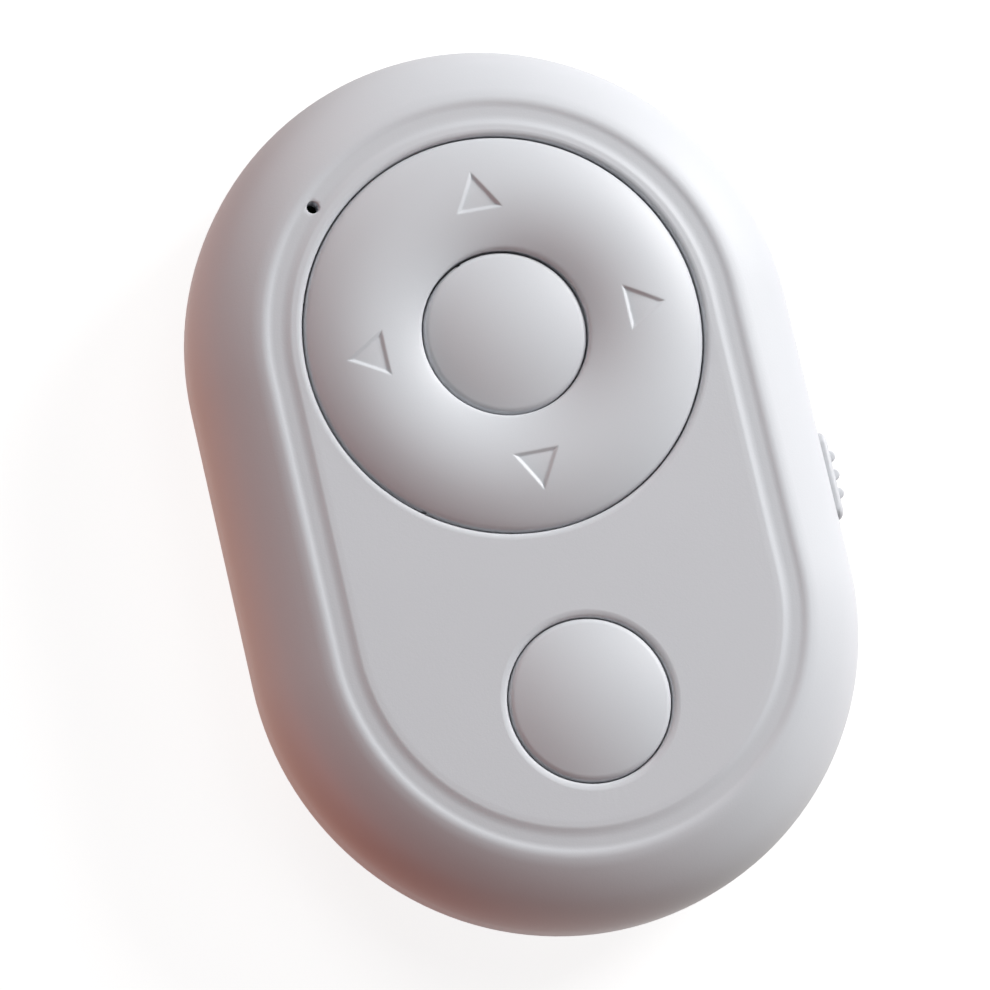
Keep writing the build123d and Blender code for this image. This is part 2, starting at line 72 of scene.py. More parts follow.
channel_radius = 12.3
channel_bottom = 2.3
channel_top = 3.3
channel_roof = 0.9
well_radius = 10.5
well_top = 5.2
well_wall = 1.2
twist = 40.0
dot_distance = 13.85
dot_radius = 0.35
mark_depth = 0.25
past = 1.0                      # how far a cutter stands out of what it cuts
skim = 0.003                    # how far a cutter's soft mouth stands proud of the surface
crisp_angle = 38.0              # two faces that meet at more than this keep a sharp edge


def arc(centre, radius, start, sweep, steps):
    """Points on an arc of a section, as (outward, height). Angles are in degrees."""
    turns = [radians(start + sweep * i / steps) for i in range(steps + 1)]
    return [(centre[0] + radius * cos(turn), centre[1] + radius * sin(turn)) for turn in turns]


def eased(corners, steps=4):
    """A closed section in which each corner given as (outward, height, radius) is rounded."""
    outline = []
    for i, corner in enumerate(corners):
        if len(corner) == 2:
            outline.append(corner)
            continue
        here = Vector(corner[:2])
        before = (Vector(corners[i - 1][:2]) - here).normalized()
        after = (Vector(corners[(i + 1) % len(corners)][:2]) - here).normalized()
        half = before.angle(after) / 2
        centre = here + (before + after).normalized() * (corner[2] / sin(half))
        spoke = here + before * (corner[2] / tan(half)) - centre
        swing = -spoke.angle_signed(here + after * (corner[2] / tan(half)) - centre)
        for k in range(steps + 1):
            turned = spoke.copy()
            turned.rotate(Matrix.Rotation(swing * k / steps, 2))
            outline.append(tuple(centre + turned))
    return outline


def circle(x=0.0, y=0.0, steps=128):
    """Rings round an upright axis: the points at a distance from it, at a height."""
    turns = [2 * pi * i / steps for i in range(steps)]
    return lambda reach, height: [(x + reach * cos(turn), y + reach * sin(turn), height) for turn in turns]


def oblong(steps=72, side_steps=12):
    """Rings round the body's middle line: half circles at the ends, straight along the sides."""
    spots = [(pi * i / steps, end_centre) for i in range(steps + 1)]
    spots += [(pi, end_centre * (1 - 2 * i / side_steps)) for i in range(1, side_steps)]
    spots += [(pi + pi * i / steps, -end_centre) for i in range(steps + 1)]
    spots += [(0.0, end_centre * (2 * i / side_steps - 1)) for i in range(1, side_steps)]
    return lambda reach, height: [(reach * cos(turn), y + reach * sin(turn), height) for turn, y in spots]


def skin(rings, ends="joined"):
    """A mesh through successive rings of points. Its ends are joined, capped or left to meet on the axis."""
    mesh = bmesh.new()
    rows = [[mesh.verts.new(Vector(point) * MM) for point in ring] for ring in rings]
    for row, following in zip(rows, rows[1:] + rows[:1] * (ends == "joined")):
        for i in range(len(row)):
            j = (i + 1) % len(row)
            mesh.faces.new((row[i], row[j], following[j], following[i]))
    if ends == "capped":
        mesh.faces.new(rows[0])
        mesh.faces.new(rows[-1])
    bmesh.ops.remove_doubles(mesh, verts=mesh.verts, dist=1e-8)
    bmesh.ops.recalc_face_normals(mesh, faces=mesh.faces)
    if mesh.calc_volume(signed=True) < 0:
        bmesh.ops.reverse_faces(mesh, faces=mesh.faces)
    return mesh


def swept(outline, rings):
    """A section carried all the way round."""
    on_axis = outline[0][0] == 0 and outline[-1][0] == 0
    return skin([rings(*point) for point in outline], "met" if on_axis else "joined")


def solid(name, *meshes):
    """One object made of closed meshes."""
    whole = bmesh.new()
    for mesh in meshes:
        carried = bpy.data.meshes.new("carried")
        mesh.to_mesh(carried)
        whole.from_mesh(carried)
        mesh.free()
        bpy.data.meshes.remove(carried)
    piece = bpy.data.objects.new(name, bpy.data.meshes.new(name))
    whole.to_mesh(piece.data)
    whole.free()
    bpy.context.scene.collection.objects.link(piece)
    return piece


def cut(piece, *cutters):
    """Takes closed meshes out of a piece."""
    tool = solid("cutter", *cutters)
    step = piece.modifiers.new("cut", "BOOLEAN")
    step.operation = "DIFFERENCE"
    step.solver = "EXACT"
    step.object = tool
    settled = piece.evaluated_get(bpy.context.evaluated_depsgraph_get())
    piece.data = bpy.data.meshes.new_from_object(settled)
    piece.modifiers.clear()
    bpy.data.objects.remove(tool)


def dress(piece, body, material, slot, *stands_for):
    """Smooth shading with crisp edges, the finish, and what the piece moves with and stands for. A piece that
    bends between two bodies is given no body here."""
    piece.data.shade_smooth()
    piece.data.set_sharp_from_angle(angle=radians(crisp_angle))
    even = piece.modifiers.new("even normals", "WEIGHTED_NORMAL")
    even.keep_sharp = True
    piece.data.materials.clear()
    piece.data.materials.append(material)
    if body:
        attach(piece, body)
    if stands_for:
        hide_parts(*stands_for)


class Wire:
    """One output in a material's nodes. Arithmetic on it adds Math nodes. Without a socket it only starts a
    chain of them."""

    def __init__(self, tree, socket=None):
        self.tree = tree
        self.socket = socket

    def node(self, kind, settings, inputs, output=0):
        """Adds a node of a type: first its settings, then the values or wires of its sockets."""
        made = self.tree.nodes.new(kind)
        for key, value in settings.items():
            setattr(made, key, value)
        for key, value in inputs.items():
            if isinstance(value, Wire):
                self.tree.links.new(value.socket, made.inputs[key])
            else:
                made.inputs[key].default_value = value
        return Wire(self.tree, made.outputs[output])

    def maths(self, operation, *others):
        """A Math node with this in its first socket."""
        return self.node("ShaderNodeMath", {"operation": operation}, dict(enumerate((self, *others))))

    def __add__(self, other):
        return self.maths("ADD", other)

    def __sub__(self, other):
        return self.maths("SUBTRACT", other)

    def __rsub__(self, other):
        return self.node("ShaderNodeMath", {"operation": "SUBTRACT"}, {0: other, 1: self})

    def __mul__(self, other):
        return self.maths("MULTIPLY", other)

    def __gt__(self, other):
        return self.maths("GREATER_THAN", other)

    __radd__ = __add__
    __rmul__ = __mul__

    def along(self, axis):
        """One coordinate of a place."""
        return self.node("ShaderNodeSeparateXYZ", {}, {0: self}, "XYZ".index(axis))

    def scaled(self, *factors):
        """A place stretched along X, Y and Z."""
        return self.node("ShaderNodeVectorMath", {"operation": "MULTIPLY"}, {0: self, 1: factors})

    def noise(self, scale, detail=2.0, roughness=0.5):
        """Cloudy noise from 0 to 1, with that many features in a metre."""
        sockets = {"Vector": self, "Scale": scale, "Detail": detail, "Roughness": roughness}
        return self.node("ShaderNodeTexNoise", {}, sockets)

    def between(self, low, high):
        """0 below low, 1 above high, and even in between."""
        return self.node("ShaderNodeMapRange", {}, {"Value": self, "From Min": low, "From Max": high})

    def over(self, span):
        """0 before a span given in millimetres, 1 past it, and even in between."""
        return self.between(span[0] * MM, span[1] * MM)

    def mix(self, first, second):
        """From the first colour to the second as this goes from 0 to 1."""
        first, second = [(*end, 1) if isinstance(end, tuple) else end for end in (first, second)]
        return self.node("ShaderNodeMix", {"data_type": "RGBA"}, {0: self, 6: first, 7: second}, 2)

    def relief(self, strength, depth):
        """A normal for a surface that rises with this by up to depth, in metres."""
        return self.node("ShaderNodeBump", {}, {"Height": self, "Strength": strength, "Distance": depth})


def finish(name, paint):
    """A material: paint gets the place on the piece and gives the surface's sockets."""
    material = bpy.data.materials.new(name)
    material.use_nodes = True
    tree = material.node_tree
    surface = tree.nodes["Principled BSDF"]
    place = Wire(tree).node("ShaderNodeTexCoord", {}, {}, "Object")
    for key, value in paint(place).items():
        if isinstance(value, Wire):
            tree.links.new(value.socket, surface.inputs[key])
        else:
            surface.inputs[key].default_value = (*value, 1) if key == "Base Color" else value
    return material


def moulded(colour, roughness, grain, grain_depth):
    """Plastic from a spark-eroded mould: an even fine grain, and faint flow clouds in colour and gloss."""
    deep, pale = [tuple(part * level for part in colour) for level in (0.975, 1.015)]

    def paint(place):
        clouds = place.noise(90.0, detail=3.0)
        pits = place.noise(grain, roughness=0.6)
        return {
            "Base Color": clouds.mix(deep, pale),
            "Roughness": roughness + (clouds - 0.5) * 0.08 + (pits - 0.5) * 0.06,
            "Normal": pits.relief(0.35, grain_depth),
            "IOR": 1.46,
            "Specular IOR Level": 0.35,
        }

    return paint


shell_paint = moulded(colour=(0.634, 0.645, 0.676), roughness=0.48, grain=7500.0, grain_depth=0.000016)
shell_plastic = finish("shell_plastic", shell_paint)

seam_angle = degrees(asin((back_round - seam) / back_round))
flank = arc((half_width - back_round, back_round), back_round, -90, 90 - seam_angle, steps=12)
tray_outline = eased([
    (0.0, 0.0),
    *flank[:-1],
    (*flank[-1], seam_edge),
    (tongue_outside, seam),
    (tongue_outside, tongue_top, tongue_edge),
    (tongue_inside, tongue_top),
    (tongue_inside, seam),
    (floor_edge, wall),
    (0.0, wall),
])
well_outline = [
    (recess_radius, recess_depth),
    (lip_radius, recess_depth),
    (lip_radius, channel_bottom),
    (channel_radius, channel_bottom),
    (channel_radius, channel_top),
    (well_radius, channel_top),
    (well_radius, well_top),
    (well_radius + well_wall, well_top),
    (well_radius + well_wall, channel_top + channel_roof),
    (channel_radius + well_wall, channel_top + channel_roof),
    (channel_radius + well_wall, wall / 2),
    (recess_radius, wall / 2),
]
mouth = recess_radius + recess_lead_in
recess = [
    (0.0, -past),
    (mouth, -past),
    *arc((mouth, recess_lead_in - skim), recess_lead_in, 270, -90, steps=5),
    (recess_radius, 2 * wall),
    (0.0, 2 * wall),
]
back_tray = solid("back_tray", swept(tray_outline, oblong()))
dots = []
for turn in (0.0, twist):
    ring = circle(dot_distance * sin(radians(turn)), dot_distance * cos(radians(turn)), steps=32)
    dots.append(swept([(0.0, -past), (dot_radius, -past), (dot_radius, mark_depth), (0.0, mark_depth)], ring))
cut(back_tray, swept(recess, circle()), *dots)
well = solid("well", swept(well_outline, circle()))
dress(back_tray, "housing", shell_plastic, "shell_plastic", "back_shell")
dress(well, "housing", shell_plastic, "shell_plastic")

# Battery cover. A round twist-off lid in the same plastic, flush with the back: a coin turns it by its slot,
# three lugs on its cup hold in the bayonet, and a small pointer shows against two dots if it is shut.
cover_radius = 12.75
cover_thickness = 1.55
cover_edge = 0.25
cup_inside = 10.35
cup_outside = 11.05
cup_top = 3.15
cup_edge = 0.15
lug_root = 10.85                # inside the cup's wall
lug_radius = 12.0
lug_bottom = 2.45
lug_angle = 24.0
slot_length = 13.0
slot_width = 1.8
slot_depth = 0.7
slot_lead_in = 0.2
slot_flare = (                  # height, wider by
    (-past, slot_lead_in),
    (-skim, slot_lead_in),
    (0.05, 0.08),
    (slot_lead_in, 0.0),
    (slot_depth, 0.0),
)
hair = 0.001                    # by which the slot's corners are less than half its width
pointer_distance = 11.5
pointer_size = 0.75


def wedge(section, start, sweep, steps=12):
    """A section carried part of the way round the upright axis."""
    turns = [radians(start + sweep * i / steps) for i in range(steps + 1)]
    return skin([[(r * cos(turn), r * sin(turn), z) for r, z in section] for turn in turns], "capped")


def pill(length, width, corner, steps=8):
    """The outline of an oblong with round corners, as (along, across)."""
    quarters = [(1, 1, 0), (-1, 1, 90), (-1, -1, 180), (1, -1, 270)]
    corners = [((a * (length / 2 - corner), b * (width / 2 - corner)), turn) for a, b, turn in quarters]
    return [point for centre, turn in corners for point in arc(centre, corner, turn, 90, steps)]


cover_outline = eased([
    (0.0, 0.0),
    (cover_radius, 0.0, cover_edge),
    (cover_radius, cover_thickness),
    (cup_outside, cover_thickness),
    (cup_outside, cup_top, cup_edge),
    (cup_inside, cup_top),
    (cup_inside, cover_thickness),
    (0.0, cover_thickness),
])
cover = solid("cover_lid", swept(cover_outline, circle()))
slot_rings = []
for height, growth in slot_flare:
    sides = pill(slot_length + 2 * growth, slot_width + 2 * growth, slot_width / 2 + growth - hair)
    slot_rings.append([(x, y, height) for x, y in sides])
pointer = [
    (pointer_size * cos(radians(turn)), pointer_distance + pointer_size * sin(radians(turn)))
    for turn in (90, 210, 330)
]
pointer_rings = [[(x, y, height) for x, y in pointer] for height in (-past, mark_depth)]
cut(cover, skin(slot_rings, "capped"), skin(pointer_rings, "capped"))
dress(cover, "cover", shell_plastic, "shell_plastic", "battery_cover")
lug = [(lug_root, lug_bottom), (lug_radius, lug_bottom), (lug_radius, cup_top), (lug_root, cup_top)]
cover_lugs = solid("cover_lugs", *[wedge(lug, 90 + 120 * i - lug_angle / 2, lug_angle) for i in range(3)])
dress(cover_lugs, "cover", shell_plastic, "shell_plastic")

# Front shell. The upper half of the housing in the same matt white plastic: a fat rim, a shallow groove that
# runs round inside it, and a flat panel with a hole for the ring pad, one for the shutter button, a pinhole
# for the status light in the groove, and a window in the right side for the power slider.
front_round = 4.72
front_round_height = 6.242
crown_round = 9.0               # a flatter rounding that leads from the front rounding to the rim's crest
crown_start = 51.8
crown_centre = (12.633, 2.878)
crown_sweep = 13.2
panel_top = 11.4
ceiling = 10.0
panel_fall = 13.5               # where the panel starts to fall towards its edge
panel_fall_ease = 4.0
panel_edge = (13.91, 11.385)
panel_edge_ease = 0.8
groove_inside = (14.38, 11.243)
groove_inside_ease = 1.8
groove_outside = (15.165, 11.216)
groove_outside_ease = 1.5
rim_crest = (15.612, 11.302)
rim_crest_ease = 1.1
rim_break = (16.15, 11.168)     # where the crest's rounding meets the crown
rim_break_ease = 3.1
front_slope = 2.6               # inside, between the wall and the ceiling
lip_inside = 19.0
lip_top = 4.9
front_bottom = 3.4
pad_hole = 13.16
pad_hole_dish = (13.55, 0.065, 1.2)        # where it starts, its depth at the hole, and its rounding
hole_lip = 0.3
shutter_y = end_centre - 24.4
shutter_hole = 5.37
shutter_hole_dish = (5.82, 0.11, 1.0)
dish_skim = 0.002               # how far the edge of a dish's cutter stands proud of the panel
dish_margin = 0.5
light_distance = 14.75
light_direction = 135.0
light_hole = 0.4
light_lead_in = 0.1
light_bottom = 9.0
light_top = 12.5
knob_y = -3.25
knob_travel = 2.0
knob_z = 6.5
knob_length = 5.9
knob_width = 2.4
knob_corner = 0.8
window_gap = 0.2
window_lead_in = 0.2
window_flare = (                # distance from the middle, wider by
    (16.5, 0.0),
    (19.72, 0.0),
    (19.83, 0.04),
    (19.93, 0.11),
    (half_width + skim, window_lead_in),
    (half_width + past, window_lead_in),
)
groove_painted_shade = 0.95             # what is left of the colour at the bottom of the groove under the painted shade
painted_shade_fade = (0.25, 0.15)       # over which the painted shade comes in on the groove's inner and outer side
painted_shade_bottom = 11.0             # nothing lower gets the painted shade


def key_hole(radius, dish):
    """The section of a cutter for a hole through the panel, in a shallow dish with a soft edge."""
    reach, depth, ease = dish
    return eased([
        (0.0, ceiling - past),
        (radius, ceiling - past),
        (radius, panel_top - depth, hole_lip),
        (reach, panel_top + dish_skim, ease),
        (reach + dish_margin, panel_top + dish_skim),
        (reach + dish_margin, panel_top + past),
        (0.0, panel_top + past),
    ], steps=6)


def squared_reach(place):
    """The square of a place's distance from the body's middle line."""
    across = place.along("X")
    past_end = (place.along("Y").maths("ABSOLUTE") - end_centre * MM).maths("MAXIMUM", 0.0)
    return across * across + past_end * past_end


def front_plastic(place):
    """The shells' plastic with painted shade: darker along the bottom of the groove, where shade falls in the
    recess.
    """
    sockets = shell_paint(place)
    reach = squared_reach(place).maths("SQRT")
    inner = reach.over((groove_inside[0] - painted_shade_fade[0], groove_inside[0]))
    outer = reach.over((groove_outside[0], groove_outside[0] + painted_shade_fade[1]))
    on_top = place.along("Z") > painted_shade_bottom * MM
    # painted shade: the colour is darkened along the bottom of the groove, where shade falls in the recess
    painted_shade = inner * (1.0 - outer) * on_top * (1.0 - groove_painted_shade)
    sockets["Base Color"] = painted_shade.mix(sockets["Base Color"], (0.0, 0.0, 0.0))
    return sockets


turn_in = degrees(asin((back_round - front_bottom) / back_round))
inside = half_width - wall
lower_flank = arc((half_width - back_round, back_round), back_round, -turn_in, turn_in, steps=4)
front_outline = eased([
    (0.0, ceiling),
    (inside - front_slope, ceiling),
    (inside, ceiling - front_slope),
    (inside, lip_top),
    (lip_inside, lip_top),
    (lip_inside, front_bottom),
    (*lower_flank[0], seam_edge),
    *lower_flank[1:],
    *arc((half_width - front_round, front_round_height), front_round, 0, crown_start, steps=14),
    *arc(crown_centre, crown_round, crown_start, crown_sweep, steps=6)[1:],
    (*rim_break, rim_break_ease),
    (*rim_crest, rim_crest_ease),
    (*groove_outside, groove_outside_ease),
    (*groove_inside, groove_inside_ease),
    (*panel_edge, panel_edge_ease),
    (panel_fall, panel_top, panel_fall_ease),
    (0.0, panel_top),
], steps=6)
window_rings = []
for x, growth in window_flare:
    length = knob_length + knob_travel + 2 * (window_gap + growth)
    sides = pill(length, knob_width + 2 * (window_gap + growth), knob_corner + growth)
    window_rings.append([(x, knob_y + knob_travel / 2 + y, knob_z + z) for y, z in sides])
light_x = light_distance * cos(radians(light_direction))
light_y = end_centre + light_distance * sin(radians(light_direction))
light_mouth = light_hole + light_lead_in
light_cutter = [
    (0.0, light_bottom),
    (light_hole, light_bottom),
    *arc((light_mouth, groove_inside[1] - light_lead_in + skim), light_lead_in, 180, -90, steps=4),
    (light_mouth, light_top),
    (0.0, light_top),
]
front_moulding = solid("front_moulding", swept(front_outline, oblong()))
cut(
    front_moulding,
    swept(key_hole(pad_hole, pad_hole_dish), circle(0.0, end_centre, steps=192)),
    swept(key_hole(shutter_hole, shutter_hole_dish), circle(0.0, shutter_y, steps=96)),
    swept(light_cutter, circle(light_x, light_y, steps=32)),
    skin(window_rings, "capped"),
)
dress(front_moulding, "housing", finish("front_plastic", front_plastic), "shell_plastic", "front_shell")

# Ring pad. One turned-looking moulding that rocks four ways: a crown that rises to a soft crest and falls
# towards the middle, with a small sunk triangle for each direction, a skirt and flange below the panel, and
# a tube that the centre button runs in. It is a little smoother than the shells.
pad_radius = 13.07
pad_edge = 0.6
pad_play = (0.01, 0.003)        # it sits a little off the middle of its hole
crest_radius = 9.0
crest_top = 12.25
outer_curve = 8.9
inner_curve = 9.8
bore = 5.45
bore_edge = 0.36
tube_radius = 6.57
tube_bottom = 7.9
skirt_inside = 11.9
flange_radius = 14.1
flange_bottom = 8.8
flange_top = 9.4
pad_ceiling = 10.7
gusset = 0.8                    # the slopes that brace its skirt and its tube
nub_circle = 9.0
nub_radius = 1.3
nub_bottom = 7.05
triangle_base = 8.0
triangle_tip = 10.75
triangle_width = 3.2
triangle_depth = 0.14
triangle_edge = 0.3
triangle_bottom = 10.9          # between the pad's underside and the triangles
bore_step = 0.4                 # spacing of the mesh next to the bore,
fine_step = 0.05                # where the triangles are,
plain_step = 0.25               # and elsewhere
plain_turn = 2                  # degrees between the spokes of the mesh where it is plain
triangle_turn = 13              # degrees on each side of a triangle's middle in which it is fine
triangle_margin = 0.1           # how far the fine mesh goes on past a triangle
edge_margin = 0.75              # how far from the pad's edge the mesh of the crown ends
gate_width = 0.3
gate_depth = 0.12
gate_reach = 0.5
gate_top = 13.0
pad_gate = -126.6               # the direction of the mark where its moulding was cut from the sprue
pad_gate_bottom = 10.6


def crown(reach):
    """The height of the pad's crown at a distance from its axis."""
    curve = inner_curve if reach < crest_radius else outer_curve
    return crest_top - curve + sqrt(curve**2 - (reach - crest_radius) ** 2)


def sunk(along, across):
    """How much of a triangle's depth is reached at a place on the pad, from 0 outside to 1 inside."""
    length = triangle_tip - triangle_base
    half = triangle_width / 2
    slant = ((triangle_tip - along) * half - abs(across) * length) / hypot(length, half)
    inward = min(max(min(along - triangle_base, slant) / triangle_edge, 0.0), 1.0)
    return inward * inward * (3 - 2 * inward)


def pad_ring(reach, height):
    """A ring round the pad's axis, with more points where the triangles are, and sunk there."""
    ring = []
    for turn in pad_turns:
        from_arrow = (turn + pi / 4) % (pi / 2) - pi / 4
        on_top = height > triangle_bottom
        drop = on_top * triangle_depth * sunk(reach * cos(from_arrow), reach * sin(from_arrow))
        x, y = pad_play[0] + reach * cos(turn), end_centre + pad_play[1] + reach * sin(turn)
        ring.append((x, y, height - drop))
    return ring


def gate_mark(radius, direction, place, low):
    """A cutter for the small notch that is left at a moulding's edge where the plastic ran in."""
    out = Vector((cos(radians(direction)), sin(radians(direction)), 0))
    along = Vector((-out.y, out.x, 0)) * gate_width / 2
    near, far = out * (radius - gate_depth), out * (radius + gate_reach)
    corners = [near - along, far - along, far + along, near + along]
    return skin([[(place[0] + v.x, place[1] + v.y, z) for v in corners] for z in (low, gate_top)], "capped")


reaches = [bore + bore_step * i for i in range(1, 6)]
while reaches[-1] < pad_radius - edge_margin:
    near_triangle = triangle_base - triangle_margin < reaches[-1] < triangle_tip + triangle_margin
    reaches.append(reaches[-1] + (fine_step if near_triangle else plain_step))
pad_outline = eased([
    (bore, tube_bottom),
    (bore, crown(bore), bore_edge),
    *[(reach, crown(reach)) for reach in reaches],
    (pad_radius, crown(pad_radius), pad_edge),
    (pad_radius, flange_top),
    (flange_radius, flange_top),
    (flange_radius, flange_bottom),
    (skirt_inside, flange_bottom),
    (skirt_inside, pad_ceiling - gusset),
    (skirt_inside - gusset, pad_ceiling),
    (tube_radius + gusset, pad_ceiling),
    (tube_radius, pad_ceiling - gusset),
    (tube_radius, tube_bottom),
], steps=5)
quarter_turns = []
turn = -radians(triangle_turn)
while turn < radians(90 - triangle_turn) - 1e-9:
    quarter_turns.append(turn)
    turn += fine_step / crest_radius if turn < radians(triangle_turn) else radians(plain_turn)
pad_turns = [turn + quarter * pi / 2 for quarter in range(4) for turn in quarter_turns]
nub = [(0.0, nub_bottom), (nub_radius, nub_bottom), (nub_radius, pad_ceiling), (0.0, pad_ceiling)]
nubs = []
for quarter in range(4):
    x, y = nub_circle * cos(quarter * pi / 2), end_centre + nub_circle * sin(quarter * pi / 2)
    nubs.append(swept(nub, circle(x, y, steps=24)))
key_plastic = finish(
    "key_plastic", moulded(colour=(0.622, 0.633, 0.663), roughness=0.44, grain=8200.0, grain_depth=0.00001)
)
pad_middle = (pad_play[0], end_centre + pad_play[1])
ring_moulding = solid("ring_moulding", swept(pad_outline, pad_ring), *nubs)
cut(ring_moulding, gate_mark(pad_radius, pad_gate, pad_middle, pad_gate_bottom))
dress(ring_moulding, "pad", key_plastic, "key_plastic", "ring_pad")

# Round buttons. Two domed caps with a soft edge, moulded like the pad: the centre button sits a little low in
# the pad's tube, and the shutter button stands in its own hole. A flange under each keeps it in, and a
# stem in its middle presses the snap dome on the board.
button_rise = 0.8               # of the dome's middle over its edge
button_wall = 1.0
button_edge = 0.5
button_flange = 0.6
stem_radius = 1.5
centre_place = (0.01, end_centre - 0.02)
centre_radius = 5.35
centre_side_top = 11.45         # where its dome meets its side
centre_flange = (6.3, tube_bottom - 0.1)
centre_gate = 112.4
centre_gate_bottom = 10.8
shutter_place = (0.01, shutter_y + 0.01)
shutter_radius = 5.29
shutter_side_top = 11.3
shutter_flange = (6.7, ceiling - 0.05)


def button_outline(radius, side_top, flange):
    """The section of a hollow domed button: its flange is given by its radius and the height of its top."""
    curve = (radius**2 + button_rise**2) / (2 * button_rise)
    dome = arc((0.0, side_top + button_rise - curve), curve, 90, -degrees(asin(radius / curve)), steps=12)
    inner = radius - button_wall
    reach, height = flange
    return eased([
        (0.0, nub_bottom),
        (stem_radius, nub_bottom),
        (stem_radius, side_top - button_wall),
        (inner, side_top - button_wall),
        (inner, height - button_flange),
        (reach, height - button_flange),
        (reach, height),
        (radius, height),
        (radius, side_top, button_edge),
        *dome[-2:0:-1],
        (0.0, dome[0][1]),
    ], steps=6)


centre_outline = button_outline(centre_radius, centre_side_top, centre_flange)
centre_cap = solid("centre_cap", swept(centre_outline, circle(*centre_place, steps=96)))
cut(centre_cap, gate_mark(centre_radius, centre_gate, centre_place, centre_gate_bottom))
dress(centre_cap, "centre_key", key_plastic, "key_plastic", "centre_button")
shutter_outline = button_outline(shutter_radius, shutter_side_top, shutter_flange)
shutter_cap = solid("shutter_cap", swept(shutter_outline, circle(*shutter_place, steps=96)))
dress(shutter_cap, "shutter_key", key_plastic, "key_plastic", "shutter_button")

# Power slider. A ridged cap that slides in the window of the front shell, held by a wider plate behind the
# wall, which closes the rest of the window and carries the switch's lever along.
knob_root = 17.75               # inside the plate
knob_reach = 20.3
knob_round = 0.35
ridge_radius = 0.38
ridge_edge = 0.12
ridge_pitch = 1.25
plate_ends = (-5.5, 5.7)        # from the knob's middle
plate_outline = [(16.9, 4.4), (17.95, 4.4), (17.95, 7.9), (17.3, 8.55), (16.9, 8.55)]
cap_sections = [(knob_root, 0.0)]
for turn in range(0, 91, 15):
    x = knob_reach - knob_round * (1 - sin(radians(turn)))
    cap_sections.append((x, knob_round * (1 - cos(radians(turn)))))
cap_rings = []
for x, inset in cap_sections:
    sides = pill(knob_length - 2 * inset, knob_width - 2 * inset, knob_corner - inset)
    cap_rings.append([(x, knob_y + y, knob_z + z) for y, z in sides])
plate_rings = [[(x, knob_y + end, z) for x, z in plate_outline] for end in plate_ends]
ridge_low = knob_z - knob_width / 2 + knob_round
ridge_high = knob_z + knob_width / 2 - knob_round
ridge = eased([
    (0.0, ridge_low),
    (ridge_radius, ridge_low, ridge_edge),
    (ridge_radius, ridge_high, ridge_edge),
    (0.0, ridge_high),
], steps=3)
ridges = [swept(ridge, circle(knob_reach, knob_y + i * ridge_pitch, steps=32)) for i in (-1, 0, 1)]
slider = solid("slider_cap", skin(cap_rings, "capped"), skin(plate_rings, "capped"), *ridges)
dress(slider, "power_slider", key_plastic, "key_plastic", "power_knob")

# Pad cushion. A soft milky silicone ring between the board and the pad's flange, with a thin slanted web that
# folds when the pad rocks. It is made in two halves that meet at the web's middle, the foot on the board and
# the top under the pad; neither is given a body, so they stay still.
board_top = 6.6
cushion_middle = 7.6
cushion_parting = 0.005         # keeps the two halves apart
cushion_top = 8.79
cushion_edge = 0.1
cushion_foot_outline = [
    (12.7, board_top),
    (13.8, board_top),
    (13.8, 7.1, cushion_edge),
    (13.38, cushion_middle),
    (12.65, cushion_middle),
    (12.95, 7.2, cushion_edge),
]
cushion_top_outline = [
    (12.65, cushion_middle + cushion_parting),
    (13.38, cushion_middle + cushion_parting),
    (12.95, 8.1, cushion_edge),
    (13.3, 8.4, cushion_edge),
    (13.3, cushion_top, cushion_edge),
    (12.2, cushion_top, cushion_edge),
    (12.2, 8.2, cushion_edge),
]
foot_folds = (6.75, 7.55)       # the heights between which each half folds
top_folds = (7.65, 8.35)


def milky(place):
    """Silicone that has a little cloud in it."""
    clouds = place.noise(400.0)
    return {
        "Base Color": clouds.mix((0.60, 0.60, 0.58), (0.70, 0.70, 0.68)),
        "Roughness": clouds * 0.1 + 0.3,
        "Normal": place.noise(5000.0).relief(0.2, 0.00001),
    }


silicone = finish("milky_silicone", milky)


def folding_ring(name, outline, below, above, folds, *stands_for):
    """Half of the cushion, made still and given no body; below, above and folds are not used."""
    cushion = solid(name, swept(eased(outline), circle(0.0, end_centre)))
    dress(cushion, None, silicone, "silicone", *stands_for)
    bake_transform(cushion)


folding_ring("cushion_foot", cushion_foot_outline, "housing", "pad_rocker", foot_folds, "pad_cushion")
folding_ring("cushion_top", cushion_top_outline, "pad_rocker", "pad", top_folds)


# Circuit board. Glass-fibre board under green solder mask, with the tracks showing as paler lines and a
# faint weave below the mask. The copper aerial at its lower end is a bare gilded track.
def wear(material, *names):
    """Gives CAD nodes their finish."""
    for name in names:
        nodes[name].material_slots[0].material = material


def tracks(clouds):
    """Thin lines along the contours of a noise."""
    return clouds.between(0.575, 0.59) * (1 - clouds.between(0.61, 0.625))


def solder_mask(place):
    """Green lacquer over tracks that stand a little proud and over the weave."""
    across = tracks(place.scaled(1.0, 0.16, 1.0).noise(420.0, detail=1.0))
    down = tracks(place.scaled(0.16, 1.0, 1.0).noise(380.0, detail=1.0))
    lines = across.maths("MAXIMUM", down)
    weave = place.noise(2600.0, detail=1.0)
    return {
        "Base Color": lines.mix(weave.mix((0.012, 0.085, 0.035), (0.016, 0.11, 0.045)), (0.03, 0.20, 0.08)),
        "Roughness": weave * 0.06 + 0.3,
        "Coat Weight": 0.4,
        "Normal": (lines + weave * 0.15).relief(0.4, 0.00003),
    }


def gilded(place):
    """Gold-plated copper, a little uneven."""
    return {
        "Base Color": place.noise(1500.0).mix((0.80, 0.56, 0.24), (0.88, 0.66, 0.34)),
        "Metallic": 1.0,
        "Roughness": place.noise(3000.0) * 0.15 + 0.25,
    }


wear(finish("circuit_board", solder_mask), "main_board")
wear(finish("copper", gilded), "antenna_trace")


